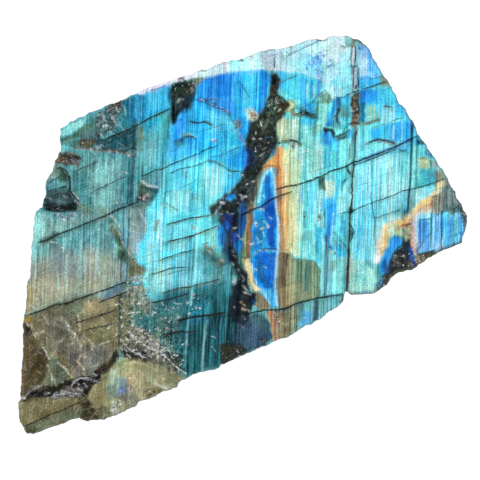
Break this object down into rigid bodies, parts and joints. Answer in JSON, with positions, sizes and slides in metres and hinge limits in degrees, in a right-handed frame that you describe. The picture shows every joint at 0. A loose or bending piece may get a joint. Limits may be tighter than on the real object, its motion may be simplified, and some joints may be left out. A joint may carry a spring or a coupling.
{
  "type": "labradorite slab",
  "caption": "Hand-sized slab of labradorite with a flat iridescent face, rough broken edges and a flat back that it lies on.",
  "frame": {"origin": "middle of the slab's outline, on the surface that its flat back lies on", "axes": "+Z out of the polished face, +X along the face's longest side, +Y across it towards the bevelled edge"},
  "size_m": [0.1124, 0.0998, 0.018],
  "materials": {
    "labradorite": "polished face with blue and cyan flashes, rough dark grey-green edges, matt sawn back"
  },
  "bodies": {
    "root": {"labradorite_slab": "labradorite"}
  },
  "joints": []
}
